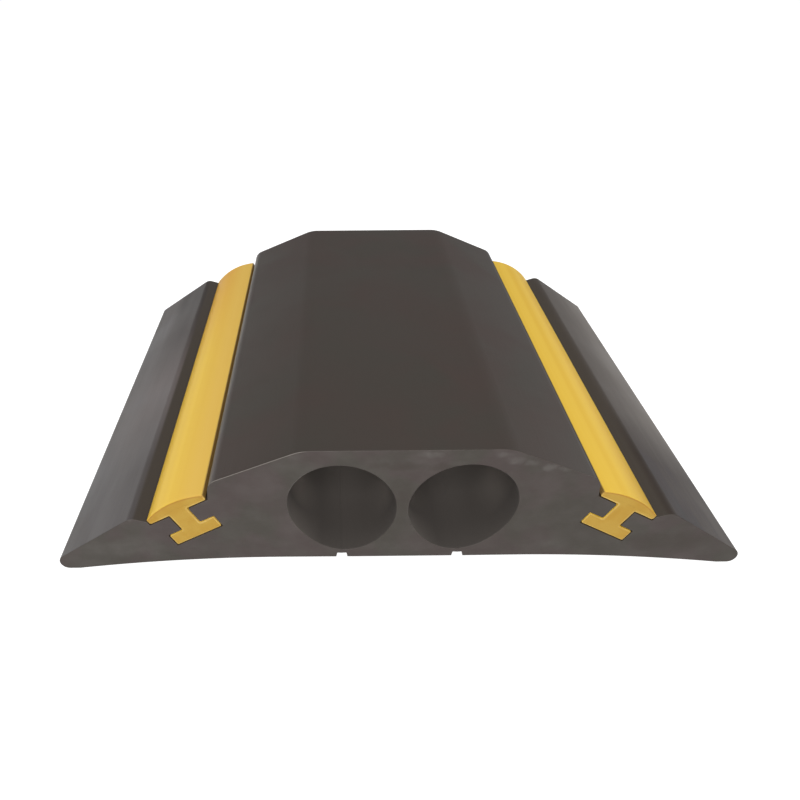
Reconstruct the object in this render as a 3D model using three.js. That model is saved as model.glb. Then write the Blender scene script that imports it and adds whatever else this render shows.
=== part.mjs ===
// Floor cord cover: a short length of black rubber extrusion that carries cords across a floor.
// It is a ramp with two channels, each slit open underneath, and a yellow hazard strip of H section
// is pushed into a T-slot along each shoulder.
//
// Sizes are millimetres. The section lies in X and Z and runs along Y. The floor is at Z 0, and the
// origin is on it, at the middle of the width and of the length. Both halves mirror each other.

import * as THREE from "three";

// With these sizes the whole section is 211 wide and 45.9 high.
const coverLength = 166;
const facetAngle = 7; // degrees turned by one facet of a round stretch

// The two channels for cords: slightly oval, leaning outwards at the top.
const channelLong = 33;
const channelShort = 30.6;
const channelLean = 35; // degrees from level up to the long axis
const mouthWidth = 12; // the shallow point that each channel draws out into above its slit
const mouthDrop = 2;

// The rubber around the channels.
const roofThickness = 5.3;
const webBetweenChannels = 3.4;
const channelFloor = 1.5; // from the roof of the notch up to the channel

// The slit and the notch under each channel.
const slitWidth = 0.4;
const notchMouthWidth = 3.4;
const notchRoofWidth = 2.8;
const notchDepth = 1.6;

// The raised block in the middle.
const topWidth = 58.8; // the flat on top, measured between its sharp corners
const topCornerRadius = 14;
const blockWidth = 113.6; // between the feet of its side walls
const wallHeight = 6.3; // from the strip's seat up to the sharp shoulder
const wallInset = 0.4; // the wall leans in by this much on its way up
const shoulderRadius = 4.5;

// The hollow underside and the foot along each edge.
const archRise = 4.1;
const archFlatWidth = 74; // the level stretch in the middle
const archFacets = 14;
const footWidth = 3.2;
const edgeRadius = 2.8; // the round nose of each ramp

// The hazard strips, each an H lying on its side and tilted outwards.
const stripTilt = 29; // degrees
const capWidth = 20.2;
const capEdge = 1.8; // thickness at the two long edges of the cap
const capCrown = 2.1; // rise of the cap's middle above its edges
const capEdgeRadius = 0.5;
const webThickness = 6.3;
const webHeight = 6.7;
const flangeWidth = 16;
const flangeThickness = 4.2;
const stripClearance = 0.3; // between a strip and its slot, all round
const underSlot = 9.6; // from the floor up to the lowest corner of the slot

// The land outside each strip rises to the ridge, and the ramp runs from there to the floor.
const lipHeight = 1.45;
const landWidth = 5;
const landRise = 1.6;
const ridgeRadius = 3;
const rampWidth = 24.8;

const rubber = new THREE.MeshStandardMaterial({ color: 0x35322f, roughness: 0.62, metalness: 0 });
const yellowRubber = new THREE.MeshStandardMaterial({ color: 0xe0b23a, roughness: 0.5, metalness: 0 });

const point = (x, y) => new THREE.Vector2(x, y);
const mirrored = (p) => point(-p.x, p.y);
const radians = THREE.MathUtils.degToRad;

// Points of an arc from one angle to another, both in radians, ends included.
function arcPoints(centre, radius, from, to) {
  const facets = Math.max(2, Math.ceil(Math.abs(to - from) / radians(facetAngle)));
  return Array.from({ length: facets + 1 }, (_, i) => {
    const angle = from + ((to - from) * i) / facets;
    return point(centre.x + radius * Math.cos(angle), centre.y + radius * Math.sin(angle));
  });
}

// The round that replaces a sharp corner between its two neighbours. It never takes more than
// half of the shorter side.
function roundedCorner(before, corner, after, radius) {
  const toBefore = before.clone().sub(corner);
  const toAfter = after.clone().sub(corner);
  const half = toBefore.angleTo(toAfter) / 2;
  const longest = Math.min(toBefore.length(), toAfter.length()) / 2;
  const run = Math.min(radius / Math.tan(half), longest);
  const fitted = run * Math.tan(half);
  const start = corner.clone().add(toBefore.setLength(run));
  const end = corner.clone().add(toAfter.setLength(run));
  const centre = start.clone().add(end).multiplyScalar(0.5).sub(corner);
  centre.setLength(fitted / Math.sin(half)).add(corner);
  const from = Math.atan2(start.y - centre.y, start.x - centre.x);
  const to = Math.atan2(end.y - centre.y, end.x - centre.x);
  const turn = Math.atan2(Math.sin(to - from), Math.cos(to - from));
  return arcPoints(centre, fitted, from, from + turn);
}

// The strip's own axes: "across" runs along its cap, outwards and down, and "up" stands on it.
const tilt = radians(stripTilt);
const across = point(Math.cos(tilt), -Math.sin(tilt));
const up = point(Math.sin(tilt), Math.cos(tilt));

// The middle of the cap's underside. The cap's inner edge stands against the block's wall, and
// the slot's lowest corner lies at its own height above the floor.
const capReach = capWidth / 2 + stripClearance;
const slotReach = flangeWidth / 2 + stripClearance;
const slotDepth = webHeight + flangeThickness + stripClearance;
const capMiddle = point(
  blockWidth / 2 + capReach * across.x + stripClearance * up.x,
  underSlot - slotReach * across.y + slotDepth * up.y,
);
const onStrip = (a, u) => capMiddle.clone().addScaledVector(across, a).addScaledVector(up, u);

// The T-slot, from the foot of the block's wall to the outer end of the strip's seat.
function slotPoints() {
  const seat = -stripClearance;
  const halfWeb = webThickness / 2 + stripClearance;
  const ceiling = -webHeight + stripClearance;
  return [
    onStrip(-capReach, seat),
    onStrip(-halfWeb, seat),
    onStrip(-halfWeb, ceiling),
    onStrip(-slotReach, ceiling),
    onStrip(-slotReach, -slotDepth),
    onStrip(slotReach, -slotDepth),
    onStrip(slotReach, ceiling),
    onStrip(halfWeb, ceiling),
    onStrip(halfWeb, seat),
    onStrip(capReach, seat),
  ];
}

// The nose of the ramp: its round starts where the slope from the ridge touches it and ends on
// the floor.
function nosePoints(ridge) {
  const centre = point(ridge.x + rampWidth - edgeRadius, edgeRadius);
  const toRidge = ridge.clone().sub(centre);
  const touch = toRidge.angle() - Math.acos(edgeRadius / toRidge.length());
  return arcPoints(centre, edgeRadius, touch, -Math.PI / 2);
}

// The hollow underside from the foot's inner edge to the level middle: one long arc that ends level.
function archPoints(footEdge) {
  const levelEnd = archFlatWidth / 2;
  const run = footEdge - levelEnd;
  const radius = (run * run + archRise * archRise) / (2 * archRise);
  return Array.from({ length: archFacets + 1 }, (_, i) => {
    const reach = (run * (archFacets - i)) / archFacets;
    return point(levelEnd + reach, archRise - radius + Math.sqrt(radius * radius - reach * reach));
  });
}

// The channel's reach from its centre to its lowest point, and sideways to its widest.
const lean = radians(channelLean);
const halfLong = channelLong / 2;
const halfShort = channelShort / 2;
const channelReach = Math.hypot(halfLong * Math.sin(lean), halfShort * Math.cos(lean));
const channelHalfWidth = Math.hypot(halfLong * Math.cos(lean), halfShort * Math.sin(lean));

const notchRoof = archRise + notchDepth;
const slitTop = notchRoof + channelFloor;
const channelMiddle = point(
  webBetweenChannels / 2 + channelHalfWidth,
  slitTop + mouthDrop + channelReach,
);
const overallHeight = channelMiddle.y + channelReach + roofThickness;

// A channel with its slit and notch, from the notch's outer corner round to its inner one.
function channelPoints() {
  const facets = Math.ceil(360 / facetAngle);
  const lowest = Math.atan2(-halfShort * Math.cos(lean), -halfLong * Math.sin(lean));
  const wall = Array.from({ length: facets }, (_, i) => {
    const t = lowest + (2 * Math.PI * i) / facets;
    return point(halfLong * Math.cos(t), halfShort * Math.sin(t)).rotateAround(point(0, 0), lean);
  }).filter((p) => p.y > 0 || Math.abs(p.x) > mouthWidth / 2);
  const side = (sign) => [
    point(channelMiddle.x + (sign * notchMouthWidth) / 2, archRise),
    point(channelMiddle.x + (sign * notchRoofWidth) / 2, notchRoof),
    point(channelMiddle.x + (sign * slitWidth) / 2, notchRoof),
    point(channelMiddle.x + (sign * slitWidth) / 2, slitTop),
  ];
  return [...side(1), ...wall.map((p) => p.add(channelMiddle)), ...side(-1).reverse()];
}

// Half of the cover's section, from the middle of the top round to the middle of the underside.
function halfSection() {
  const top = point(0, overallHeight);
  const topCorner = point(topWidth / 2, overallHeight);
  const slot = slotPoints();
  const shoulder = point(slot[0].x - wallInset, slot[0].y + wallHeight);
  const lip = slot[slot.length - 1].clone().addScaledVector(up, lipHeight);
  const ridge = point(lip.x + landWidth, lip.y + landRise);
  const nose = nosePoints(ridge);
  const footEdge = nose[nose.length - 1].x - footWidth;
  return [
    ...roundedCorner(top, topCorner, shoulder, topCornerRadius),
    ...roundedCorner(topCorner, shoulder, slot[0], shoulderRadius),
    ...slot,
    lip,
    ...roundedCorner(lip, ridge, nose[0], ridgeRadius),
    ...nose,
    ...archPoints(footEdge),
    ...channelPoints(),
  ];
}

// The strip's section in its own axes, with its origin at the middle of the cap's underside.
function stripSection() {
  const halfCap = capWidth / 2;
  const halfWeb = webThickness / 2;
  const halfFlange = flangeWidth / 2;
  const flangeTop = -webHeight;
  const flangeFoot = flangeTop - flangeThickness;
  const crownRadius = (halfCap * halfCap + capCrown * capCrown) / (2 * capCrown);
  const crownCentre = point(0, capEdge + capCrown - crownRadius);
  const halfSweep = Math.asin(halfCap / crownRadius);
  const crown = arcPoints(crownCentre, crownRadius, Math.PI / 2 - halfSweep, Math.PI / 2 + halfSweep);
  const edge = roundedCorner(point(halfCap, 0), crown[0], crown[1], capEdgeRadius);
  return [
    point(halfCap, 0),
    ...edge,
    ...crown.slice(1, -1),
    ...edge.map(mirrored).reverse(),
    point(-halfCap, 0),
    point(-halfWeb, 0),
    point(-halfWeb, flangeTop),
    point(-halfFlange, flangeTop),
    point(-halfFlange, flangeFoot),
    point(halfFlange, flangeFoot),
    point(halfFlange, flangeTop),
    point(halfWeb, flangeTop),
    point(halfWeb, 0),
  ];
}

// A section carried along Y for the length of the cover, centred on the origin.
function extruded(outline) {
  const shape = new THREE.Shape(outline);
  const geometry = new THREE.ExtrudeGeometry(shape, { depth: coverLength, bevelEnabled: false });
  return geometry.rotateX(Math.PI / 2).translate(0, coverLength / 2, 0);
}

function coverBody() {
  const half = halfSection();
  const body = new THREE.Mesh(extruded([...half, ...half.map(mirrored).reverse()]), rubber);
  body.name = "cover_body";
  return body;
}

function hazardStrip(name, side) {
  const strip = new THREE.Mesh(extruded(stripSection()), yellowRubber);
  strip.name = name;
  strip.position.set(side * capMiddle.x, 0, capMiddle.y);
  strip.rotation.y = side * tilt;
  return strip;
}

const cordCover = new THREE.Group();
cordCover.add(coverBody(), hazardStrip("hazard_strip_left", -1), hazardStrip("hazard_strip_right", 1));

export default cordCover;
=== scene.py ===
import math

import bpy
import numpy as np
from mathutils import Matrix, Vector


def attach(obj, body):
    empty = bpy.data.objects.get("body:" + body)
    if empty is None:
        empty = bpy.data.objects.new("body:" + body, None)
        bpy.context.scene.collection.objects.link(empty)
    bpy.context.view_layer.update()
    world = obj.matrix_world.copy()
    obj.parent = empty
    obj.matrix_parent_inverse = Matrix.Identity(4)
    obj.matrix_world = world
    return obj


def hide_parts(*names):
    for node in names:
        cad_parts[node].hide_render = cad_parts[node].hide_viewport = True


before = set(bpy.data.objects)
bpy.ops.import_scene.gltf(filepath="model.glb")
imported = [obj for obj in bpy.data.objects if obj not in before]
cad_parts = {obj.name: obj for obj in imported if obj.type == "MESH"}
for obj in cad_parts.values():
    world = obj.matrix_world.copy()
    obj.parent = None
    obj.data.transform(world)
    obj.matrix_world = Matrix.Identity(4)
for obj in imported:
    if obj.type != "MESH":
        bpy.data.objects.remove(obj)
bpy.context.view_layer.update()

# Floor cord cover: a black rubber ramp with two cord channels and a yellow strip on each shoulder.
# The section lies in X and Z and runs along Y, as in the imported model. Outlines are worked out in
# millimetres and turned into metres when they are put into a mesh.

mm = 0.001
tiny = 1e-9  # keeps a division from meeting zero

# How the corners of an outline are rounded.
rounding = {
    "mostOfSide": 0.46,  # the share of a side that the round at one of its ends may take
    "closest": 0.004,  # a point nearer than this to the one before is left out
    "noLimit": 1000,  # stands for the radius where there is no outward round
    "leastSpread": 0.6,  # limits how much a sharp corner's normal is lengthened
}


def roundedOutline(corners, radii, steps):
    # Every corner of a closed outline becomes an arc that touches both of its sides:
    # centre + radius * (cos, sin), at equal angles between the two touching points. The second
    # result is the radius of the outward round that each point lies on.
    toBefore = np.roll(corners, 1, axis=0) - corners
    toAfter = np.roll(corners, -1, axis=0) - corners
    sideBefore = np.linalg.norm(toBefore, axis=1)
    sideAfter = np.linalg.norm(toAfter, axis=1)
    toBefore = toBefore / sideBefore[:, None]
    toAfter = toAfter / sideAfter[:, None]
    half = np.arccos(np.clip(np.sum(toBefore * toAfter, axis=1), -1, 1)) / 2
    longest = rounding["mostOfSide"] * np.minimum(sideBefore, sideAfter)
    run = np.minimum(radii / np.tan(half), longest)
    fitted = run * np.tan(half)
    bisector = toBefore + toAfter
    bisector /= np.maximum(np.linalg.norm(bisector, axis=1), tiny)[:, None]
    centre = corners + bisector * (fitted / np.sin(half))[:, None]
    start = corners + toBefore * run[:, None] - centre
    end = corners + toAfter * run[:, None] - centre
    first = np.arctan2(start[:, 1], start[:, 0])
    turn = np.arctan2(end[:, 1], end[:, 0]) - first
    turn = np.arctan2(np.sin(turn), np.cos(turn))
    angle = first[:, None] + turn[:, None] * np.linspace(0, 1, steps + 1)
    ring = np.stack([np.cos(angle), np.sin(angle)], axis=-1)
    points = (centre[:, None] + fitted[:, None, None] * ring).reshape(-1, 2)
    sharp = radii <= 0
    unrounded = np.repeat(corners, steps + 1, axis=0)
    points = np.where(np.repeat(sharp, steps + 1)[:, None], unrounded, points)
    apart = np.linalg.norm(points - np.roll(points, 1, axis=0), axis=1) > rounding["closest"]
    bend = np.where((turn < 0) & ~sharp, fitted, rounding["noLimit"])
    return points[apart], np.repeat(bend, steps + 1)[apart]


def outwardNormals(outline):
    # The outline runs clockwise seen from the front, so a side's left normal points outwards.
    # A corner's normal is the mean of its two sides', lengthened to keep an even offset.
    side = np.roll(outline, -1, axis=0) - outline
    side /= np.linalg.norm(side, axis=1)[:, None]
    left = np.column_stack([-side[:, 1], side[:, 0]])
    mean = left + np.roll(left, 1, axis=0)
    mean /= np.linalg.norm(mean, axis=1)[:, None]
    spread = np.clip(np.sum(mean * left, axis=1), rounding["leastSpread"], 1)
    return mean / spread[:, None]


coverSizes = {
    "length": 166,
    "channelLong": 33,
    "channelShort": 30.6,
    "channelLean": 35,
    "mouthDrop": 2,  # how far the lower half of a channel is drawn down to its slit
    "roof": 5.3,
    "channelWeb": 3.4,
    "channelFloor": 1.5,
    "slitWidth": 0.002,  # sprung shut
    "slitSide": 0.7,  # the channel's wall ends this far from the middle of its slit
    "notchMouth": 3.4,
    "notchRoof": 2.8,
    "notchDepth": 1.6,
    "topWidth": 58.8,
    "topRadius": 14,
    "blockWidth": 113.6,
    "wallHeight": 6.3,
    "wallInset": 0.4,
    "shoulderRadius": 4.5,
    "archRise": 4.1,
    "archFlat": 74,
    "footWidth": 3.2,
    "edgeRadius": 2.8,
    "underSlot": 9.6,
    "lipHeight": 1.45,
    "landWidth": 5,
    "landRise": 1.6,
    "ridgeRadius": 3.6,
    "rampWidth": 24.8,
    "lipRound": 0.45,
    "slotRound": 0.2,
    "slitRound": 0.02,
    "endRound": 0.18,
    "rim": 0,
    "roundSteps": 7,
    "channelSteps": 144,
    "noseSteps": 18,
    "archSteps": 32,
}

stripSizes = {
    "tilt": 29,
    "capWidth": 20.2,
    "capEdge": 1.8,
    "capCrown": 2.1,
    "webThickness": 6.3,
    "webHeight": 6.7,
    "flangeWidth": 16,
    "flangeThickness": 4.2,
    "clearance": 0.3,
    "capRound": 0.65,
    "flangeRound": 0.45,
    "neckRound": 0.3,
    "endRound": 0.25,
    "rim": 0.5,  # the pale border of a cut end, a painted highlight
    "roundSteps": 6,
    "crownSteps": 48,
    "edgeFacing": 0.6,  # how squarely the cap's inner edge faces the block
}


def slotReach():
    # From the middle of a strip's seat: out to the seat's end, out to the end of the slot's wide
    # part, and down to the foot of the slot.
    s = stripSizes
    gap = s["clearance"]
    depth = s["webHeight"] + s["flangeThickness"] + gap
    return s["capWidth"] / 2 + gap, s["flangeWidth"] / 2 + gap, depth


def stripFrame():
    # Where a strip sits: the middle of its cap's underside and its two axes in the section.
    c = coverSizes
    tilt = math.radians(stripSizes["tilt"])
    across = np.array([math.cos(tilt), -math.sin(tilt)])
    up = np.array([math.sin(tilt), math.cos(tilt)])
    seatReach, wideReach, depth = slotReach()
    middle = np.array([
        c["blockWidth"] / 2 + seatReach * across[0] + stripSizes["clearance"] * up[0],
        c["underSlot"] - wideReach * across[1] + depth * up[1],
    ])
    return middle, across, up


def slotCorners():
    # The T-slot from the foot of the block's wall to the outer end of the strip's seat.
    s = stripSizes
    middle, across, up = stripFrame()
    seatReach, wideReach, depth = slotReach()
    seat = -s["clearance"]
    neck = s["webThickness"] / 2 + s["clearance"]
    ceiling = -s["webHeight"] + s["clearance"]
    halfA = np.array([seatReach, neck, neck, wideReach, wideReach])
    halfU = np.array([seat, seat, ceiling, ceiling, -depth])
    lip, slot = coverSizes["lipRound"], coverSizes["slotRound"]
    halfRadii = np.array([slot, lip, lip, slot, slot])
    a = np.concatenate([-halfA, halfA[::-1]])
    u = np.concatenate([halfU, halfU[::-1]])
    radii = np.concatenate([halfRadii, halfRadii[::-1]])
    return middle + a[:, None] * across + u[:, None] * up, radii


def channelForm():
    # A channel's lean, its half axes, and its reach from its middle down to its lowest point.
    lean = math.radians(coverSizes["channelLean"])
    halfLong, halfShort = coverSizes["channelLong"] / 2, coverSizes["channelShort"] / 2
    reach = math.hypot(halfLong * math.sin(lean), halfShort * math.cos(lean))
    return lean, halfLong, halfShort, reach


def channelMiddle():
    # The middle of the right channel, from the web between the channels and from the notch's roof.
    c = coverSizes
    lean, halfLong, halfShort, reach = channelForm()
    halfWidth = math.hypot(halfLong * math.cos(lean), halfShort * math.sin(lean))
    x = c["channelWeb"] / 2 + halfWidth
    z = c["archRise"] + c["notchDepth"] + c["channelFloor"] + c["mouthDrop"] + reach
    return x, z


def channelWall():
    # The ellipse (long cos t, short sin t) turned by its lean, without its points over the slit.
    # Its lower half is drawn down to the top of the slit: z' = z + drop * (z / reach)^3, so the
    # last millimetres are the most drawn.
    c = coverSizes
    lean, halfLong, halfShort, reach = channelForm()
    lowest = math.atan2(-halfShort * math.cos(lean), -halfLong * math.sin(lean))
    t = lowest + np.linspace(0, 2 * math.pi, c["channelSteps"] + 1)[:-1]
    ex, ez = halfLong * np.cos(t), halfShort * np.sin(t)
    x = ex * math.cos(lean) - ez * math.sin(lean)
    z = ex * math.sin(lean) + ez * math.cos(lean)
    drawn = z - c["mouthDrop"] * np.clip(-z / reach, 0, 1) ** 3
    besideSlit = (z > 0) | (np.abs(x) > c["slitSide"])
    first = np.argmax(x * (z < 0) > c["slitSide"])
    wall = np.column_stack([x, drawn]) + channelMiddle()
    return np.roll(wall, -first, axis=0)[np.roll(besideSlit, -first)]


def channelCorners():
    # A channel's wall between the two sides of the slit and notch below it, from the outer side
    # round to the inner one.
    c = coverSizes
    x = channelMiddle()[0]
    roof = c["archRise"] + c["notchDepth"]
    halves = np.array([c["notchMouth"], c["notchRoof"], c["slitWidth"], c["slitWidth"]]) / 2
    heights = np.array([c["archRise"], roof, roof, roof + c["channelFloor"]])
    outer = np.column_stack([x + halves, heights])
    inner = np.column_stack([x - halves, heights])[::-1]
    sideRadii = np.array([c["slitRound"], c["slotRound"], c["slitRound"], c["slitRound"]])
    wall = channelWall()
    corners = np.concatenate([outer, wall, inner])
    return corners, np.concatenate([sideRadii, np.zeros(len(wall)), sideRadii[::-1]])


def nosePoints(ridge):
    # The ramp's nose: a circle's arc from where the slope from the ridge touches it, down to the
    # floor. The second result is the X of the arc's centre.
    c = coverSizes
    radius = c["edgeRadius"]
    centre = np.array([ridge[0] + c["rampWidth"] - radius, radius])
    toRidge = ridge - centre
    touch = math.atan2(toRidge[1], toRidge[0]) - math.acos(radius / math.hypot(*toRidge))
    angle = np.linspace(touch, -math.pi / 2, c["noseSteps"] + 1)
    return centre + radius * np.column_stack([np.cos(angle), np.sin(angle)]), centre[0]


def archPoints(footEdge):
    # The hollow underside, from the foot's inner edge in to the level middle: a circle's arc that
    # ends level, z = rise - r + sqrt(r^2 - reach^2).
    rise, levelEnd = coverSizes["archRise"], coverSizes["archFlat"] / 2
    run = footEdge - levelEnd
    bow = (run ** 2 + rise ** 2) / (2 * rise)
    reach = np.linspace(run, 0, coverSizes["archSteps"] + 1)
    return np.column_stack([levelEnd + reach, rise - bow + np.sqrt(bow ** 2 - reach ** 2)])


def coverOutline():
    # Half the section from the top's corner round to the channel's inner side, then its mirror.
    c = coverSizes
    channel, channelRadii = channelCorners()
    slot, slotRadii = slotCorners()
    up = stripFrame()[2]
    height = channelMiddle()[1] + channelForm()[3] + c["roof"]
    shoulder = slot[0] + [-c["wallInset"], c["wallHeight"]]
    lip = slot[-1] + up * c["lipHeight"]
    ridge = lip + [c["landWidth"], c["landRise"]]
    nose, noseMiddle = nosePoints(ridge)
    arch = archPoints(noseMiddle - c["footWidth"])
    corners = np.concatenate([
        [[c["topWidth"] / 2, height], shoulder], slot, [lip, ridge], nose, arch, channel,
    ])
    radii = np.concatenate([
        [c["topRadius"], c["shoulderRadius"]], slotRadii, [c["lipRound"], c["ridgeRadius"]],
        np.zeros(len(nose) + len(arch)), channelRadii,
    ])
    corners = np.concatenate([corners, (corners * [-1, 1])[::-1]])
    radii = np.concatenate([radii, radii[::-1]])
    return roundedOutline(corners, radii, c["roundSteps"])


def stripOutline(side):
    # The H section: a crowned cap on a web and a flange, then turned and set into its slot.
    # The crown is a circle's arc through both edges of the cap.
    s = stripSizes
    middle, across, up = stripFrame()
    halfCap, halfWeb, halfFlange = s["capWidth"] / 2, s["webThickness"] / 2, s["flangeWidth"] / 2
    flangeTop = -s["webHeight"]
    flangeFoot = flangeTop - s["flangeThickness"]
    bow = (halfCap ** 2 + s["capCrown"] ** 2) / (2 * s["capCrown"])
    a = np.linspace(-halfCap, halfCap, s["crownSteps"] + 1)
    crown = np.column_stack([a, s["capEdge"] + s["capCrown"] - bow + np.sqrt(bow ** 2 - a ** 2)])
    rightBelow = np.array([
        [halfCap, 0], [halfWeb, 0], [halfWeb, flangeTop], [halfFlange, flangeTop],
        [halfFlange, flangeFoot],
    ])
    below = np.concatenate([rightBelow, (rightBelow * [-1, 1])[::-1]])
    cap, flange, neck = s["capRound"], s["flangeRound"], s["neckRound"]
    rightRadii = np.array([cap, neck, neck, flange, flange])
    radii = np.concatenate([np.zeros(len(crown)), rightRadii, rightRadii[::-1]])
    outline, bend = roundedOutline(np.concatenate([crown, below]), radii, s["roundSteps"])
    placed = middle + outline[:, :1] * across + outline[:, 1:] * up
    tags = capTags(outline)
    if side < 0:
        return (placed * [-1, 1])[::-1], bend[::-1], {key: tag[::-1] for key, tag in tags.items()}
    return placed, bend, tags


def capTags(outline):
    # On the cap only: "crown" is how far its surface faces up, and the inner edge tag is 1 on the edge
    # that faces the block, which gets painted shade.
    normals = outwardNormals(outline)
    onCap = outline[:, 1] > 0
    return {
        "crown": onCap * np.clip(normals[:, 1], 0, 1),
        "innerEdgeShade": onCap * (normals[:, 0] < -stripSizes["edgeFacing"]),
    }


# The band along each shoulder: painted highlight on the left one, painted shade on the right one.
shoulderHighlightAndShadeBand = {
    "aboveSeat": 0.3,  # millimetres
    "pastWall": 0.1,
    "startLeft": 0.92,  # how far the surface faces sideways where the band starts
    "startRight": 0.58,
    "width": 0.12,
}


def shoulderHighlightAndShade(outline):
    # Where a shoulder turns down into the block's wall: 1 on the left and -1 on the right, over
    # a narrow stretch on the left and a broad one on the right. 0 elsewhere. 1 is painted highlight, -1
    # painted shade.
    band = shoulderHighlightAndShadeBand
    side = np.sign(outline[:, 0])
    aboveSeat = outline[:, 1] > slotCorners()[0][0, 1] + band["aboveSeat"]
    onBlock = np.abs(outline[:, 0]) < coverSizes["blockWidth"] / 2 + band["pastWall"]
    facing = side * outwardNormals(outline)[:, 0]
    start = np.where(side < 0, band["startLeft"], band["startRight"])
    return -side * (aboveSeat & onBlock) * np.clip((facing - start) / band["width"], 0, 1)


def channelSkin(outline):
    # 1 for the points on the wall of either channel, 0 elsewhere.
    middle = np.array(channelMiddle())
    away = np.linalg.norm(np.abs(outline) - middle, axis=1)
    return (away < coverSizes["channelLong"] / 2 + coverSizes["mouthDrop"]).astype(float)


# Where a piece has its rings along Y, in millimetres.
ringPlan = {
    "cutSteps": 6,  # over the rounded edge of a cut
    "behindCut": (0.8, 2.5),  # two more rings behind that edge
    "firstStation": 6,  # from a cut to the nearest even station
    "stations": 13,
    "mostOfBend": 0.8,  # the share of a corner's radius that an inset may take
    "sharpFrom": 34,  # degrees between two faces
}


def ringsAlong(sizes):
    # The rings' places along Y, and four values for each ring. Near a cut a ring lies inwards by
    # r (1 - sin a) at a distance r (1 - cos a) from the cut, so the cut's edge is a quarter round.
    # A flat rim follows where it has a width. The other values are 1 on the cut's face, in the
    # middle of its rounded edge, and on the rim's outer border.
    half, endRound, rim = coverSizes["length"] / 2, sizes["endRound"], sizes["rim"]
    inner = [endRound + rim] if rim else []
    a = np.linspace(0, math.pi / 2, ringPlan["cutSteps"] + 1)
    behind = endRound + np.array(ringPlan["behindCut"])
    plain = np.zeros(len(behind))
    endY = np.concatenate([[half] * len(inner), half - endRound * (1 - np.cos(a)), half - behind])
    reach = half - ringPlan["firstStation"]
    ringY = np.concatenate([-endY, np.linspace(-reach, reach, ringPlan["stations"]), endY[::-1]])
    along = {
        "inset": np.concatenate([inner, endRound * (1 - np.sin(a)), plain]),
        "cutFace": np.concatenate([[1] * len(inner), np.cos(a), plain]),
        "cutEdge": np.concatenate([[0] * len(inner), np.sin(2 * a), plain]),
        "cutRim": np.concatenate([[0] * len(inner), np.cos(a), plain]),
    }
    level = np.zeros(ringPlan["stations"])
    return ringY, {key: np.concatenate([end, level, end[::-1]]) for key, end in along.items()}


def extrudedPiece(name, outline, bend, sizes, tags):
    # A profile carried along Y, ring by ring. Every point moves inwards along its normal by its
    # ring's inset, and one flat face closes each end.
    ringY, along = ringsAlong(sizes)
    rings, count = len(ringY), len(outline)
    inset = along.pop("inset")
    limited = np.minimum(inset[:, None], ringPlan["mostOfBend"] * bend[None, :])
    section = outline[None] - limited[:, :, None] * outwardNormals(outline)[None]
    y = np.repeat(ringY[:, None], count, axis=1)
    points = np.stack([section[:, :, 0], y, section[:, :, 1]], axis=-1)

    mesh = bpy.data.meshes.new(name)
    putSurface(mesh, points * mm)
    mesh.shade_smooth()
    mesh.set_sharp_from_angle(angle=math.radians(ringPlan["sharpFrom"]))
    sharpenCuts(mesh, count, rings)
    values = {key: np.repeat(value, count) for key, value in along.items()}
    values.update({key: np.tile(tag, rings) for key, tag in tags.items()})
    for key, value in values.items():
        layer = mesh.attributes.new(key, "FLOAT", "POINT")
        layer.data.foreach_set("value", value.astype(np.float32))
    piece = bpy.data.objects.new(name, mesh)
    bpy.context.scene.collection.objects.link(piece)
    return piece


def putSurface(mesh, points):
    # Quads between neighbouring rings of a grid that closes round each ring, and one face over
    # the first and the last ring.
    rings, count = points.shape[:2]
    ring = np.arange(rings - 1)[:, None] * count
    near = np.arange(count)[None, :]
    far = (near + 1) % count
    quads = np.stack([ring + near, ring + far, ring + count + far, ring + count + near], axis=-1)
    quads = quads.reshape(-1, 4)
    front = np.arange(count)[::-1]
    back = np.arange(count) + (rings - 1) * count
    loops = np.concatenate([quads.ravel(), front, back])
    starts = np.concatenate([np.arange(len(quads)) * 4, len(quads) * 4 + np.array([0, count])])
    mesh.vertices.add(rings * count)
    mesh.vertices.foreach_set("co", points.ravel())
    mesh.loops.add(len(loops))
    mesh.loops.foreach_set("vertex_index", loops.astype(np.int32))
    mesh.polygons.add(len(starts))
    mesh.polygons.foreach_set("loop_start", starts.astype(np.int32))
    mesh.update(calc_edges=True)
    mesh.validate()


def sharpenCuts(mesh, count, rings):
    # The two flat cut faces keep their own flat shading: the edges around them are sharp.
    ends = np.empty(len(mesh.edges) * 2, dtype=np.int32)
    mesh.edges.foreach_get("vertices", ends)
    ringOf = ends.reshape(-1, 2) // count
    around = (ringOf[:, 0] == ringOf[:, 1]) & ((ringOf[:, 0] == 0) | (ringOf[:, 0] == rings - 1))
    sharp = np.empty(len(mesh.edges), dtype=bool)
    mesh.edges.foreach_get("use_edge_sharp", sharp)
    mesh.edges.foreach_set("use_edge_sharp", sharp | around)


def buildPieces():
    outline, bend = coverOutline()
    tags = {"channelSkin": channelSkin(outline), "shoulder": shoulderHighlightAndShade(outline)}
    pieces = {"coverBody": extrudedPiece("coverBodySurface", outline, bend, coverSizes, tags)}
    for name, side in (("stripLeft", -1), ("stripRight", 1)):
        outline, bend, tags = stripOutline(side)
        pieces[name] = extrudedPiece(name + "Surface", outline, bend, stripSizes, tags)
    return pieces


def newGroup(name, inputs, outputs):
    group = bpy.data.node_groups.new(name, "ShaderNodeTree")
    for label, kind, value in inputs:
        socket = group.interface.new_socket(label, in_out="INPUT", socket_type=kind)
        if value is not None:
            socket.default_value = value
    for label, kind in outputs:
        group.interface.new_socket(label, in_out="OUTPUT", socket_type=kind)
    return group, group.nodes.new("NodeGroupInput"), group.nodes.new("NodeGroupOutput")


def addNode(tree, kind, settings=None, values=None, links=None):
    # One node with its settings, its fixed socket values and the sockets that feed it.
    node = tree.nodes.new(kind)
    for key, value in (settings or {}).items():
        setattr(node, key, value)
    for key, value in (values or {}).items():
        node.inputs[key].default_value = value
    for key, source in (links or {}).items():
        tree.links.new(source, node.inputs[key])
    return node


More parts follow.
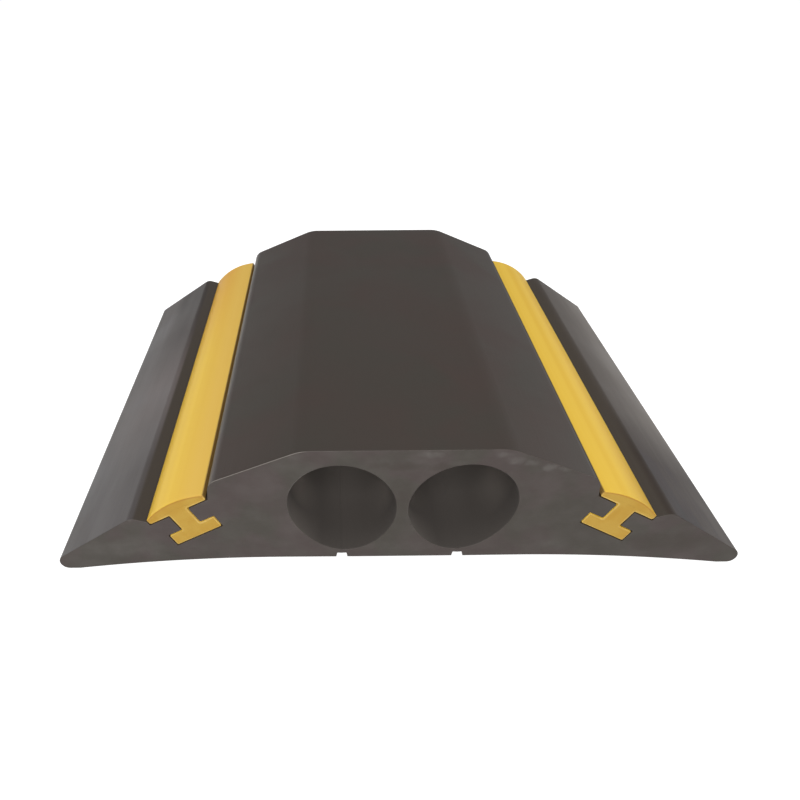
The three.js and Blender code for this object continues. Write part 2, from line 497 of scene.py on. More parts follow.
def makeStreakGroup():
    # Streaks: noise on coordinates that are stretched along one axis, from 0 to 1.
    group, given, out = newGroup(
        "streaks",
        [("Vector", "NodeSocketVector", None), ("Stretch", "NodeSocketVector", (1, 1, 1)),
         ("Detail", "NodeSocketFloat", 3)],
        [("Mask", "NodeSocketFloat")],
    )
    scaled = addNode(group, "ShaderNodeVectorMath", {"operation": "MULTIPLY"},
                     links={0: given.outputs["Vector"], 1: given.outputs["Stretch"]})
    noise = addNode(group, "ShaderNodeTexNoise", values={"Scale": 1, "Roughness": 0.55},
                    links={"Vector": scaled.outputs[0], "Detail": given.outputs["Detail"]})
    group.links.new(noise.outputs["Fac"], out.inputs["Mask"])
    return group


def makeMottleGroup():
    # Soft blotches: noise pushed towards black and white around its middle.
    group, given, out = newGroup(
        "mottle",
        [("Vector", "NodeSocketVector", None), ("Scale", "NodeSocketFloat", 20),
         ("Low", "NodeSocketFloat", 0.35), ("High", "NodeSocketFloat", 0.65)],
        [("Mask", "NodeSocketFloat")],
    )
    noise = addNode(group, "ShaderNodeTexNoise", values={"Detail": 3, "Roughness": 0.5, "Distortion": 0.3},
                    links={"Vector": given.outputs["Vector"], "Scale": given.outputs["Scale"]})
    remap = addNode(group, "ShaderNodeMapRange", {"interpolation_type": "SMOOTHSTEP"},
                    links={"Value": noise.outputs["Fac"], "From Min": given.outputs["Low"],
                           "From Max": given.outputs["High"]})
    group.links.new(remap.outputs["Result"], out.inputs["Mask"])
    return group


def makeWearAndHighlightGroup():
    # Wear and painted highlight on the edges of a cut: the edge attribute, broken up by noise.
    group, given, out = newGroup(
        "cutEdgeWearAndHighlight",
        [("Vector", "NodeSocketVector", None), ("Edge", "NodeSocketFloat", 0),
         ("Scale", "NodeSocketFloat", 60), ("Least", "NodeSocketFloat", 0.3)],
        [("Mask", "NodeSocketFloat")],
    )
    noise = addNode(group, "ShaderNodeTexNoise", values={"Detail": 4, "Roughness": 0.6},
                    links={"Vector": given.outputs["Vector"], "Scale": given.outputs["Scale"]})
    broken = addNode(group, "ShaderNodeMapRange", values={"From Min": 0.35, "From Max": 0.65},
                     links={"Value": noise.outputs["Fac"], "To Min": given.outputs["Least"]})
    mask = addNode(group, "ShaderNodeMath", {"operation": "MULTIPLY", "use_clamp": True},
                   links={0: given.outputs["Edge"], 1: broken.outputs["Result"]})
    group.links.new(mask.outputs[0], out.inputs["Mask"])
    return group


def makeSpotGroup():
    # A soft spot: 1 at its centre, falling smoothly to 0 on an ellipsoid of the given half sizes.
    group, given, out = newGroup(
        "softSpot",
        [("Vector", "NodeSocketVector", None), ("Centre", "NodeSocketVector", (0, 0, 0)),
         ("Size", "NodeSocketVector", (1, 1, 1)), ("Core", "NodeSocketFloat", 0.2)],
        [("Mask", "NodeSocketFloat")],
    )
    moved = addNode(group, "ShaderNodeVectorMath", {"operation": "SUBTRACT"},
                    links={0: given.outputs["Vector"], 1: given.outputs["Centre"]})
    scaled = addNode(group, "ShaderNodeVectorMath", {"operation": "DIVIDE"},
                     links={0: moved.outputs[0], 1: given.outputs["Size"]})
    away = addNode(group, "ShaderNodeVectorMath", {"operation": "LENGTH"}, links={0: scaled.outputs[0]})
    mask = addNode(group, "ShaderNodeMapRange", {"interpolation_type": "SMOOTHSTEP"},
                   values={"From Max": 1, "To Min": 1, "To Max": 0},
                   links={"Value": away.outputs["Value"], "From Min": given.outputs["Core"]})
    group.links.new(mask.outputs["Result"], out.inputs["Mask"])
    return group


def useGroup(tree, group, values, links):
    # Places a shared effect in a material and gives its mask.
    return addNode(tree, "ShaderNodeGroup", {"node_tree": group}, values, links).outputs["Mask"]


def mixColours(tree, amount, low, high):
    # A colour mix whose ends are either fixed colours or other sockets.
    node = addNode(tree, "ShaderNodeMix", {"data_type": "RGBA"}, links={0: amount})
    for index, colour in ((6, low), (7, high)):
        if isinstance(colour, bpy.types.NodeSocket):
            tree.links.new(colour, node.inputs[index])
        else:
            node.inputs[index].default_value = (*colour, 1)
    return node.outputs[2]


def mixValues(tree, amount, low, high):
    node = addNode(tree, "ShaderNodeMix", {"data_type": "FLOAT"}, links={0: amount, 2: low, 3: high})
    return node.outputs[0]


def mapValue(tree, value, low, high, fromLow=0, fromHigh=1):
    node = addNode(tree, "ShaderNodeMapRange",
                   values={"From Min": fromLow, "From Max": fromHigh, "To Min": low, "To Max": high},
                   links={"Value": value})
    return node.outputs["Result"]


def calculate(tree, operation, first, second=0):
    # Simple arithmetic, where each side is either a fixed number or another socket.
    node = addNode(tree, "ShaderNodeMath", {"operation": operation})
    for index, value in ((0, first), (1, second)):
        if isinstance(value, bpy.types.NodeSocket):
            tree.links.new(value, node.inputs[index])
        else:
            node.inputs[index].default_value = value
    return node.outputs[0]


def multiply(tree, first, second):
    return calculate(tree, "MULTIPLY", first, second)


def larger(tree, first, second):
    return calculate(tree, "MAXIMUM", first, second)


def addBump(tree, lines, grain, looks):
    # Fine lines, then grain on top of them. Each bump has its depth in metres and its strength.
    normal = None
    for height, (distance, strength) in ((lines, looks["lineBump"]), (grain, looks["grainBump"])):
        node = addNode(tree, "ShaderNodeBump", values={"Strength": strength, "Distance": distance},
                       links={"Height": height})
        if normal is not None:
            tree.links.new(normal, node.inputs["Normal"])
        normal = node.outputs["Normal"]
    return normal


def newMaterial(name, looks, tagNames):
    material = bpy.data.materials.new(name)
    material.use_nodes = True
    tree = material.node_tree
    shader = tree.nodes["Principled BSDF"]
    shader.inputs["Specular IOR Level"].default_value = looks["specular"]
    place = tree.nodes.new("ShaderNodeTexCoord").outputs["Object"]
    tags = {key: addNode(tree, "ShaderNodeAttribute", {"attribute_name": key}).outputs["Fac"]
            for key in tagNames}
    return material, tree, shader, place, tags


def addPatterns(tree, groups, place, looks):
    # A material's masks by name: streaks with their stretch along X, Y and Z and their detail,
    # mottles with their scale and the noise values that become 0 and 1, and a fine grain.
    masks = {}
    for name, (stretch, detail) in looks["streaks"].items():
        values = {"Stretch": stretch, "Detail": detail}
        masks[name] = useGroup(tree, groups["streaks"], values, {"Vector": place})
    for name, (scale, low, high) in looks["mottles"].items():
        values = {"Scale": scale, "Low": low, "High": high}
        masks[name] = useGroup(tree, groups["mottle"], values, {"Vector": place})
    masks["grain"] = addNode(tree, "ShaderNodeTexNoise", values={"Scale": looks["grainScale"], "Detail": 2},
                             links={"Vector": place}).outputs["Fac"]
    return masks


blackRubber = {
    "skin": (0.0527, 0.0412, 0.0340),
    "skinWarm": (0.0570, 0.0395, 0.0330),
    "skinOlive": (0.0505, 0.0420, 0.0340),
    # The channel colours are paler than the skin: painted fill light inside the channels.
    "channel": (0.084, 0.073, 0.065),
    "channelPaintedFill": (0.360, 0.315, 0.280),
    "channelDeepPaintedFill": (0.160, 0.141, 0.126),
    "cut": (0.0388, 0.0328, 0.0252),
    "cutPink": (0.0455, 0.0322, 0.0290),
    # Painted highlight on the left chamfer's cut edge, and pale wear on the rest of that edge.
    "edgeWearAndHighlight": (0.20, 0.18, 0.16),
    # The next two are painted: a highlight along the left shoulder and shade along the right one.
    "shoulderHighlight": (0.076, 0.061, 0.042),
    "shoulderShade": (0.0120, 0.0095, 0.0080),
    "land": (0.0540, 0.0435, 0.0345),
    "rubbedAndHighlightPale": (0.112, 0.102, 0.094),
    "smearDark": (0.0260, 0.0180, 0.0115),
    "rampDark": (0.0290, 0.0210, 0.0165),
    "rampDarkRight": (0.0375, 0.0232, 0.0155),
    # The ramps' pale colours are partly dust, partly a painted sheen standing for the lights' reflection.
    "dustAndSheenLeft": (0.1450, 0.1325, 0.1275),
    "dustAndSheenBlue": (0.1375, 0.1330, 0.1385),
    "dustAndSheenPink": (0.1500, 0.1240, 0.1190),
    "dustAndSheenRight": (0.1580, 0.1345, 0.1135),
    "skinRoughness": (0.43, 0.49),
    "cutRoughness": (0.57, 0.67),
    "channelRoughness": 0.8,
    "leftShoulderRoughness": 0.65,
    "rightShoulderRoughness": 0.9,
    "specular": 0.45,
    "streaks": {
        "smudge": ((110, 60, 140), 3),
        "scuff": ((190, 26, 190), 4),
        "dieLines": ((1300, 4, 1300), 3),
        "sawLines": ((120, 10, 2600), 4),
    },
    "mottles": {
        "blotch": (24, 0.35, 0.65),
        "patch": (70, 0.38, 0.62),
        "olive": (37, 0.4, 0.7),
    },
    "grainScale": 2600,
    "lineBump": (0.00008, 0.35),
    "grainBump": (0.00005, 0.3),
    "smudgeRange": (0.42, 0.7),
    "smudgeStrength": 0.2,
}

# Where the black rubber changes, in metres. Each pair is a soft border, from its start to its end.
rubberPlaces = {
    "land": (0.0745, 0.0757),
    "leftRamp": (-0.0795, -0.0803),  # the ridge is a crisp line on the left
    "rightRamp": (0.0785, 0.0826),  # and a soft one on the right
    "leftToRight": (-0.01, 0.01),
}

# Where painted fill light makes the channels' walls paler, in metres: X from the middle of each
# channel, and Y from the middle of the length.
channelPaintedFillPlaces = {
    "leftWall": (-0.0145, -0.006),
    "rightWall": (0.007, 0.0145),
    "rightAmount": 0.5,
    "aboveFloor": (0.007, 0.016),
    "ceiling": (0.033, 0.0405),
    "insideMouth": (0.060, 0.0755),
    "atMouth": (0.066, 0.077),
    "mouthAmount": 0.25,
    "deep": (0.045, 0.083),
    "deepPower": 3,
}

# How thick the dust and the painted sheen lie on the ramps. Less than 0 is rubber darker than the bare
# ramp.
rampDustAndSheen = {
    "left": 0.41,
    "leftMiddle": 0.78,
    "leftRidge": 1.1,  # a factor at the ridge
    "farInner": -0.36,
    "farOuter": 0.1,
    "right": 0.25,
    "nearRight": -0.24,
    "rightOuter": 0.78,
    "nearOuter": 0.16,
    "climbPower": 1.4,
    "streak": 0.08,
    "streakGrowth": (0.7, 1.8),  # factors at the ridge and at the nose
    "pinkNear": 0.3,
    "pinkOuter": 0.25,
}

# Where the dust and the painted sheen change: in metres, or down the slope from the ridge (0) to the nose
# (1).
dustAndSheenPlaces = {
    "slope": (0.0807, 0.1055),
    "farEnd": (0, 0.062),
    "nearEnd": (-0.054, -0.022),
    "middle": 0.012,  # this far in front of the middle of the length
    "middleReach": (0.01, 0.045),
    "pink": (-0.06, 0),
    "outerSlope": (0.42, 0.68),
    "underRidge": (0, 0.12),
    "climb": (0.15, 1),
    "scuffRange": (0.3, 0.7),
}

# Marks on the near cut, in millimetres: X, Z, half width, half height and strength.
# Pale rubbed spots. The last one, on the left ridge's corner, is a painted highlight.
rubbedSpotsAndHighlight = [
    (7.2, 44.2, 5.0, 1.6, 0.55), (30.8, 42.1, 3.8, 2.0, 0.55), (35.5, 41.0, 3.4, 1.6, 0.35),
    (40.9, 39.5, 3.8, 1.8, 0.5), (45.2, 38.4, 2.2, 1.3, 0.35), (27.0, 44.3, 4.0, 1.2, 0.35),
    (-30.5, 44.0, 3.5, 1.4, 0.12), (-84, 8.5, 20, 4.5, 0.2), (46, 8.0, 9, 3.5, 0.2),
    (1, 8.5, 12, 3.0, 0.2), (-81.2, 20.6, 1.6, 0.9, 0.7),
]
darkSmears = [
    (-2.0, 40.2, 15, 2.3, 0.5), (11, 39.8, 9, 2.3, 0.5), (-1.0, 33.2, 5.5, 3.2, 0.4),
    (0.5, 28, 6, 11, 0.5), (82, 9.5, 20, 6, 0.58), (60, 7, 8, 3, 0.2), (30, 20, 75, 34, 0.21),
    (-25, 43.6, 6, 1.8, 0.25),
]

# How the marks are broken up.
markLooks = {
    "depth": 4,  # half depth behind the cut, in millimetres
    "noiseScale": 430,
    "noiseDetail": 1.5,
    "shift": (0.0032, 0, 0.0022),  # metres
    "noiseRange": (0.38, 0.62),
    "leastRubbed": 0.5,
    "leastSmeared": 0.9,
}

# The pale edge of the near cut: the long painted highlight on the left chamfer, in millimetres, and the
# pale wear on the rest.
cutWearAndHighlight = {
    "chamferPlace": (-42, 40.5),
    "chamferSize": (17.5, 4, 12),
    "chamferCore": 0.8,
    "scale": 70,
    "strength": 0.12,
}


def addMarks(tree, groups, place, marks, least):
    # Soft spots on the near cut. Fine noise shifts their outlines and breaks them up.
    looks, y = markLooks, -coverSizes["length"] / 2
    noise = addNode(tree, "ShaderNodeTexNoise",
                    values={"Scale": looks["noiseScale"], "Detail": looks["noiseDetail"]},
                    links={"Vector": place})
    centred = addNode(tree, "ShaderNodeVectorMath", {"operation": "SUBTRACT"}, {1: (0.5, 0.5, 0.5)},
                      {0: noise.outputs["Color"]})
    ragged = addNode(tree, "ShaderNodeVectorMath", {"operation": "MULTIPLY_ADD"}, {1: looks["shift"]},
                     {0: centred.outputs[0], 2: place}).outputs[0]
    total = None
    for x, z, halfWidth, halfHeight, strength in marks:
        values = {"Centre": (x * mm, y * mm, z * mm),
                  "Size": (halfWidth * mm, looks["depth"] * mm, halfHeight * mm)}
        spot = multiply(tree, useGroup(tree, groups["spot"], values, {"Vector": ragged}), strength)
        total = spot if total is None else larger(tree, total, spot)
    return multiply(tree, total, mapValue(tree, noise.outputs["Fac"], least, 1, *looks["noiseRange"]))


def addDustAndSheenAmount(tree, axes, slope, outer, side, scuff):
    # How thick the dust and the painted sheen lie. On the left it is even, but thickest in the middle
    # and thin on the inner half of the far end. On the right it thickens towards the nose and is thin
    # towards the near end.
    dustAndSheen, places = rampDustAndSheen, dustAndSheenPlaces
    far = mapValue(tree, axes["Y"], 0, 1, *places["farEnd"])
    near = mapValue(tree, axes["Y"], 1, 0, *places["nearEnd"])
    fromMiddle = calculate(tree, "ABSOLUTE", calculate(tree, "ADD", axes["Y"], places["middle"]))
    middle = mapValue(tree, fromMiddle, 1, 0, *places["middleReach"])
    bare = multiply(tree, far, mapValue(tree, outer, dustAndSheen["farInner"], dustAndSheen["farOuter"]))
    left = calculate(tree, "ADD", mapValue(tree, middle, dustAndSheen["left"], dustAndSheen["leftMiddle"]), bare)
    left = multiply(tree, left, mapValue(tree, slope, dustAndSheen["leftRidge"], 1, *places["underRidge"]))
    climb = calculate(tree, "POWER", mapValue(tree, slope, 0, 1, *places["climb"]), dustAndSheen["climbPower"])
    right = multiply(tree, climb, mapValue(tree, near, dustAndSheen["rightOuter"], dustAndSheen["nearOuter"]))
    right = calculate(tree, "ADD", right, mapValue(tree, near, dustAndSheen["right"], dustAndSheen["nearRight"]))
    streak = mapValue(tree, scuff, -dustAndSheen["streak"], dustAndSheen["streak"], *places["scuffRange"])
    streak = multiply(tree, streak, mapValue(tree, slope, *dustAndSheen["streakGrowth"]))
    return calculate(tree, "ADD", mixValues(tree, side, left, right), streak)


def addRampColour(tree, axes, aside, masks):
    # Dust and painted sheen over dark rubber. The left ramp's dust and sheen are bluish in blotches
    # and pinkish towards the far end, most on its inner half.
    looks, dustAndSheen, places = blackRubber, rampDustAndSheen, dustAndSheenPlaces
    slope = mapValue(tree, aside, 0, 1, *places["slope"])
    outer = mapValue(tree, slope, 0, 1, *places["outerSlope"])
    side = mapValue(tree, axes["X"], 0, 1, *rubberPlaces["leftToRight"])
    amount = addDustAndSheenAmount(tree, axes, slope, outer, side, masks["scuff"])
    leftColour = mixColours(tree, masks["blotch"], looks["dustAndSheenBlue"], looks["dustAndSheenLeft"])
    pink = multiply(tree, mapValue(tree, axes["Y"], dustAndSheen["pinkNear"], 1, *places["pink"]),
                    mapValue(tree, outer, 1, dustAndSheen["pinkOuter"]))
    leftColour = mixColours(tree, pink, leftColour, looks["dustAndSheenPink"])
    dustAndSheenColour = mixColours(tree, side, leftColour, looks["dustAndSheenRight"])
    bareColour = mixColours(tree, side, looks["rampDark"], looks["rampDarkRight"])
    ramp = mixColours(tree, amount, bareColour, dustAndSheenColour)
    ramp.node.clamp_factor = False  # less than no dust is darker rubber
    return ramp


def addChannelColour(tree, axes):
    # The front lights hardly reach a channel's ceiling, side walls and depth, so these get painted
    # fill light: a paler colour. The lower left of each mouth gets a little painted light too.
    looks, places = blackRubber, channelPaintedFillPlaces
    middle = multiply(tree, calculate(tree, "SIGN", axes["X"]), channelMiddle()[0] * mm)
    across = calculate(tree, "SUBTRACT", axes["X"], middle)
    along = calculate(tree, "ABSOLUTE", axes["Y"])
    unlit = larger(tree, mapValue(tree, across, 1, 0, *places["leftWall"]),
                   mapValue(tree, across, 0, places["rightAmount"], *places["rightWall"]))
    unlit = multiply(tree, unlit, mapValue(tree, axes["Z"], 0, 1, *places["aboveFloor"]))
    unlit = larger(tree, unlit, mapValue(tree, axes["Z"], 0, 1, *places["ceiling"]))
    unlit = multiply(tree, unlit, mapValue(tree, along, 1, 0, *places["insideMouth"]))
    mouth = multiply(tree, mapValue(tree, across, places["mouthAmount"], 0, *places["leftWall"]),
                     mapValue(tree, along, 0, 1, *places["atMouth"]))
    channel = mixColours(tree, larger(tree, unlit, mouth), looks["channel"], looks["channelPaintedFill"])
    deep = mapValue(tree, along, 1, 0, *places["deep"])
    deep = calculate(tree, "POWER", deep, places["deepPower"])
    return mixColours(tree, deep, channel, looks["channelDeepPaintedFill"])


def addSkinColour(tree, axes, masks, tags):
    # The extruded skin: its own tints, then the land, the ramps' dust and painted sheen, the channels'
    # painted fill light, and the shoulders' painted highlight and shade.
    looks, places = blackRubber, rubberPlaces
    aside = calculate(tree, "ABSOLUTE", axes["X"])
    skin = mixColours(tree, masks["blotch"], looks["skin"], looks["skinWarm"])
    skin = mixColours(tree, masks["olive"], skin, looks["skinOlive"])
    skin = mixColours(tree, mapValue(tree, aside, 0, 1, *places["land"]), skin, looks["land"])
    ramp = larger(tree, mapValue(tree, axes["X"], 0, 1, *places["leftRamp"]),
                  mapValue(tree, axes["X"], 0, 1, *places["rightRamp"]))
    skin = mixColours(tree, ramp, skin, addRampColour(tree, axes, aside, masks))
    skin = mixColours(tree, tags["channelSkin"], skin, addChannelColour(tree, axes))
    # Painted highlight along the left shoulder, painted shade along the right one.
    skin = mixColours(tree, tags["shoulder"], skin, looks["shoulderHighlight"])
    return mixColours(tree, multiply(tree, tags["shoulder"], -1), skin, looks["shoulderShade"])


def addCutColour(tree, groups, place, masks):
    # The cut: two tints, paler smudges, and the marks of the near end, one of them a painted highlight.
    looks = blackRubber
    cut = mixColours(tree, masks["patch"], looks["cut"], looks["cutPink"])
    smudge = mapValue(tree, masks["smudge"], 0, looks["smudgeStrength"], *looks["smudgeRange"])
    cut = mixColours(tree, smudge, cut, looks["rubbedAndHighlightPale"])
    rubbedAndHighlit = addMarks(tree, groups, place, rubbedSpotsAndHighlight, markLooks["leastRubbed"])
    cut = mixColours(tree, rubbedAndHighlit, cut, looks["rubbedAndHighlightPale"])
    smeared = addMarks(tree, groups, place, darkSmears, markLooks["leastSmeared"])
    return mixColours(tree, smeared, cut, looks["smearDark"])


def addCutWearAndHighlight(tree, groups, place, edge):
    # The cut's edge gets a painted highlight along the left chamfer, and pale wear only here and there
    # elsewhere.
    wearAndHighlight = cutWearAndHighlight
    x, z = wearAndHighlight["chamferPlace"]
    spot = {"Centre": (x * mm, -coverSizes["length"] / 2 * mm, z * mm),
            "Size": [size * mm for size in wearAndHighlight["chamferSize"]], "Core": wearAndHighlight["chamferCore"]}
    chamfer = useGroup(tree, groups["spot"], spot, {"Vector": place})
    broken = useGroup(tree, groups["wearAndHighlight"], {"Scale": wearAndHighlight["scale"], "Least": 0},
                      {"Vector": place, "Edge": edge})
    return larger(tree, multiply(tree, broken, wearAndHighlight["strength"]), multiply(tree, edge, chamfer))


def addRubberRoughness(tree, masks, tags):
    # The channels' walls and the two shoulder bands are duller than the skin around them.
    looks = blackRubber
    skin = mapValue(tree, masks["blotch"], *looks["skinRoughness"])
    skin = larger(tree, skin, mapValue(tree, tags["channelSkin"], 0, looks["channelRoughness"]))
    skin = larger(tree, skin, multiply(tree, tags["shoulder"], -looks["rightShoulderRoughness"]))
    skin = larger(tree, skin, multiply(tree, tags["shoulder"], looks["leftShoulderRoughness"]))
    return mixValues(tree, tags["cutFace"], skin, mapValue(tree, masks["smudge"], *looks["cutRoughness"]))


def makeBlackRubber(groups):
    looks = blackRubber
    material, tree, shader, place, tags = newMaterial(
        "blackRubber", looks, ("cutFace", "cutEdge", "channelSkin", "shoulder"))
    axes = addNode(tree, "ShaderNodeSeparateXYZ", links={0: place}).outputs
    masks = addPatterns(tree, groups, place, looks)
    skin = addSkinColour(tree, axes, masks, tags)
    cut = addCutColour(tree, groups, place, masks)
    colour = mixColours(tree, tags["cutFace"], skin, cut)
    wornAndHighlit = addCutWearAndHighlight(tree, groups, place, tags["cutEdge"])
    tree.links.new(mixColours(tree, wornAndHighlit, colour, looks["edgeWearAndHighlight"]), shader.inputs["Base Color"])
    tree.links.new(addRubberRoughness(tree, masks, tags), shader.inputs["Roughness"])
    lines = mixValues(tree, tags["cutFace"], masks["dieLines"], masks["sawLines"])
    tree.links.new(addBump(tree, lines, masks["grain"], looks), shader.inputs["Normal"])
    return material


yellowRubber = {
    "skin": (0.87, 0.535, 0.046),
    "skinPale": (0.93, 0.610, 0.074),
    "skinOrange": (0.83, 0.440, 0.046),
    "skinInner": (0.90, 0.575, 0.110),
    "skinShade": (0.75, 0.455, 0.043),
    # The cut colours are darker copies of the skin: painted shade, since the near cut faces the front
    # lights.
    "cut": (0.395, 0.222, 0.022),
    "cutLight": (0.420, 0.255, 0.034),
    "rimOrange": (0.345, 0.165, 0.013),
    # A painted highlight on the pale rim of a cut end.
    "rimHighlight": (0.56, 0.385, 0.105),
    # Painted shade on the cap's edge beside the block.
    "innerEdgeShade": (0.320, 0.188, 0.052),
    "skinRoughness": 0.52,
    "cutRoughness": 0.6,
    "specular": 0.3,
    "streaks": {"bands": ((180, 1.5, 180), 2), "dieLines": ((1500, 4, 1500), 3)},
    "mottles": {"blotch": (160, 0.35, 0.65)},
    "grainScale": 2400,
    "lineBump": (0.00006, 0.3),
    "grainBump": (0.00004, 0.3),
    "bandRange": (0.35, 0.65),
    "rimScale": 230,
    "rimLeast": 0.1,
    "shadeAmount": 0.9,
}

# Where the yellow rubber changes, given in the same way.
stripPlaces = {
    "leftToRight": (-0.01, 0.01),
    "farEnd": (0, 0.083),
    "besideBlock": (-0.069, -0.062),
    "nearEnd": (-0.083, -0.04),
    "outerHalf": (0.066, 0.072),
}


def addStripSkin(tree, place, masks, tags):
    # Long pale bands. The left strip is more orange at its far end and paler beside the block,
    # and the right one is darker at its near outer corner. The cap's edge beside the block gets painted
    # shade.
    looks, places = yellowRubber, stripPlaces
    axes = addNode(tree, "ShaderNodeSeparateXYZ", links={0: place}).outputs
    bands = mapValue(tree, masks["bands"], 0, 1, *looks["bandRange"])
    skin = mixColours(tree, bands, looks["skin"], looks["skinPale"])
    onLeft = mapValue(tree, axes["X"], 1, 0, *places["leftToRight"])
    farLeft = multiply(tree, mapValue(tree, axes["Y"], 0, 1, *places["farEnd"]), onLeft)
    skin = mixColours(tree, farLeft, skin, looks["skinOrange"])
    besideBlock = multiply(tree, mapValue(tree, axes["X"], 0, 1, *places["besideBlock"]), onLeft)
    skin = mixColours(tree, besideBlock, skin, looks["skinInner"])
    nearRight = multiply(tree, mapValue(tree, axes["Y"], looks["shadeAmount"], 0, *places["nearEnd"]),
                         mapValue(tree, axes["X"], 0, 1, *places["outerHalf"]))
    skin = mixColours(tree, nearRight, skin, looks["skinShade"])
    return mixColours(tree, tags["innerEdgeShade"], skin, looks["innerEdgeShade"])


def addStripCut(tree, groups, place, masks, tags):
    # The cut end of a strip: a pale, uneven rim of painted highlight, and an orange one along the crown.
    looks = yellowRubber
    rim = useGroup(tree, groups["wearAndHighlight"], {"Scale": looks["rimScale"], "Least": looks["rimLeast"]},
                   {"Vector": place, "Edge": tags["cutRim"]})
    cut = mixColours(tree, masks["blotch"], looks["cut"], looks["cutLight"])
    cut = mixColours(tree, rim, cut, looks["rimHighlight"])
    return mixColours(tree, multiply(tree, tags["cutRim"], tags["crown"]), cut, looks["rimOrange"])


def makeYellowRubber(groups):
    looks = yellowRubber
    material, tree, shader, place, tags = newMaterial(
        "yellowRubber", looks, ("cutFace", "cutRim", "crown", "innerEdgeShade"))
    masks = addPatterns(tree, groups, place, looks)
    skin = addStripSkin(tree, place, masks, tags)
    cut = addStripCut(tree, groups, place, masks, tags)
    tree.links.new(mixColours(tree, tags["cutFace"], skin, cut), shader.inputs["Base Color"])
    rough = mapValue(tree, tags["cutFace"], looks["skinRoughness"], looks["cutRoughness"])
    tree.links.new(rough, shader.inputs["Roughness"])
    normal = addBump(tree, masks["dieLines"], masks["grain"], looks)
    tree.links.new(normal, shader.inputs["Normal"])
    return material


viewSizes = {
    "focalPixels": 691.2,
    "imageWidth": 800,
    "sensorWidth": 36,
    "middleColumn": 334,
    "pitch": 34.64,
    "yaw": 0.19,
    "roll": -0.41,
    "place": (-20.4, -231.7, 165.8),
    "clip": (0.01, 100),  # metres
}

studio = {
    "floorSize": 30,
    "floorColour": (0.5, 0.5, 0.5),
    "floorRoughness": 0.9,
    "floorSeen": 0.85,
    "floorGlow": (1.45, 0.65, 0.3),  # left of the cover, under it and right of it
    "glowLeft": (-0.25, -0.08),  # metres along X, from the left glow to the middle one
    "glowRight": (0.08, 0.25),  # and from there to the right one
    "roomLight": 0.3,
    "backdrop": (1, 1, 1),
}

# The soft lights: place, the point each one faces, width and height in metres, and watts.
softboxes = {
    "besideCamera": ((-0.11, -0.91, 0.81), (0, -0.083, 0.024), (0.5, 0.4), 5.6),
    "lowFront": ((-0.05, -1.15, 0.48), (0, -0.083, 0.024), (0.5, 0.3), 4.4),
    "rightSide": ((1.05, 0.2, 0.5), (0, 0, 0.02), (1.0, 0.4), 2.1),
    "overhead": ((0, 0, 1.25), (0, 0, 0.02), (0.9, 0.9), 2.7),
}


def makeCamera():
    # Pitched down, then turned about the vertical and rolled. The shift centres the section.
    v = viewSizes
    camera = bpy.data.cameras.new("photoCamera")
    camera.sensor_width = v["sensorWidth"]
    camera.lens = v["sensorWidth"] * v["focalPixels"] / v["imageWidth"]
    camera.shift_x = 0.5 - v["middleColumn"] / v["imageWidth"]
    camera.clip_start, camera.clip_end = v["clip"]
    turn = Matrix.Rotation(-math.radians(v["yaw"]), 4, "Z")
    tip = Matrix.Rotation(math.radians(90 - v["pitch"]), 4, "X")
    roll = Matrix.Rotation(math.radians(v["roll"]), 4, "Z")
    holder = bpy.data.objects.new("photoCamera", camera)
    holder.matrix_world = Matrix.Translation([p * mm for p in v["place"]]) @ turn @ tip @ roll
    bpy.context.scene.collection.objects.link(holder)
    bpy.context.scene.camera = holder


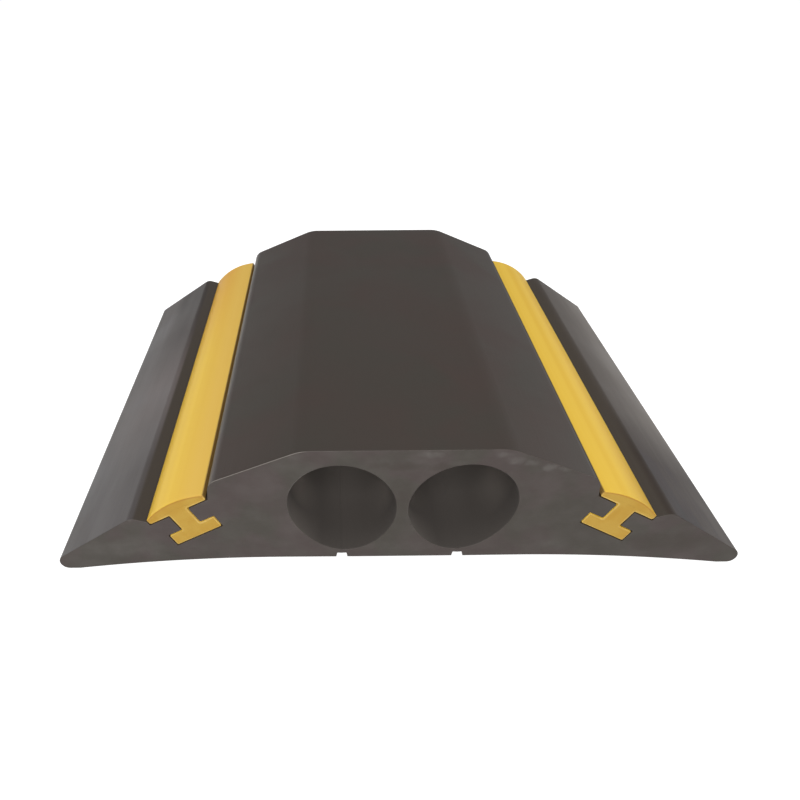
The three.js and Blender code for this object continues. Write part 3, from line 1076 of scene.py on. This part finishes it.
def makeFloorMaterial():
    # A pale floor that glows softly, more on the left than on the right, so that its light reaches
    # the rubber. The camera sees it evenly white.
    material = bpy.data.materials.new("paleFloor")
    material.use_nodes = True
    tree = material.node_tree
    shader = tree.nodes["Principled BSDF"]
    shader.inputs["Base Color"].default_value = (*studio["floorColour"], 1)
    shader.inputs["Roughness"].default_value = studio["floorRoughness"]
    shader.inputs["Specular IOR Level"].default_value = 0
    shader.inputs["Emission Color"].default_value = (1, 1, 1, 1)
    place = tree.nodes.new("ShaderNodeTexCoord").outputs["Object"]
    x = addNode(tree, "ShaderNodeSeparateXYZ", links={0: place}).outputs["X"]
    left, middle, right = studio["floorGlow"]
    glow = calculate(tree, "ADD", mapValue(tree, x, left, middle, *studio["glowLeft"]),
                     mapValue(tree, x, 0, right - middle, *studio["glowRight"]))
    seen = tree.nodes.new("ShaderNodeLightPath").outputs["Is Camera Ray"]
    strength = addNode(tree, "ShaderNodeMix", {"data_type": "FLOAT"}, {3: studio["floorSeen"]},
                       {0: seen, 2: glow})
    tree.links.new(strength.outputs[0], shader.inputs["Emission Strength"])
    return material


def makeFloor():
    half = studio["floorSize"] / 2
    mesh = bpy.data.meshes.new("studioFloor")
    mesh.from_pydata([(-half, -half, 0), (half, -half, 0), (half, half, 0), (-half, half, 0)],
                     [], [(0, 1, 2, 3)])
    mesh.materials.append(makeFloorMaterial())
    floor = bpy.data.objects.new("studioFloor", mesh)
    bpy.context.scene.collection.objects.link(floor)


def makeWorld():
    # Even, dim light from all round, in front of a white backdrop.
    world = bpy.data.worlds.new("studioWorld")
    world.use_nodes = True
    tree = world.node_tree
    seen = tree.nodes.new("ShaderNodeLightPath").outputs["Is Camera Ray"]
    colour = mixColours(tree, seen, [studio["roomLight"]] * 3, studio["backdrop"])
    tree.links.new(colour, tree.nodes["Background"].inputs["Color"])
    bpy.context.scene.world = world


def addSoftbox(name, place, target, size, power):
    light = bpy.data.lights.new(name, "AREA")
    light.shape = "RECTANGLE"
    light.size, light.size_y = size
    light.energy = power
    lamp = bpy.data.objects.new(name, light)
    lamp.location = place
    lamp.rotation_euler = (Vector(place) - Vector(target)).to_track_quat("Z", "Y").to_euler()
    lamp.visible_camera = False
    bpy.context.scene.collection.objects.link(lamp)


def makeStudio():
    makeCamera()
    makeFloor()
    makeWorld()
    for name, settings in softboxes.items():
        addSoftbox(name, *settings)
    bpy.context.scene.view_settings.view_transform = "Standard"


pieces = buildPieces()
print("surfaces made:", {name: len(piece.data.vertices) for name, piece in pieces.items()})

groups = {"streaks": makeStreakGroup(), "mottle": makeMottleGroup(), "wearAndHighlight": makeWearAndHighlightGroup(),
          "spot": makeSpotGroup()}
pieces["coverBody"].data.materials.append(makeBlackRubber(groups))
yellow = makeYellowRubber(groups)
pieces["stripLeft"].data.materials.append(yellow)
pieces["stripRight"].data.materials.append(yellow)
print("materials made")

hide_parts("cover_body")
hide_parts("hazard_strip_left")
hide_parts("hazard_strip_right")
for piece in pieces.values():
    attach(piece, "root")
print("pieces joined to the frame")

makeStudio()
print("studio made")
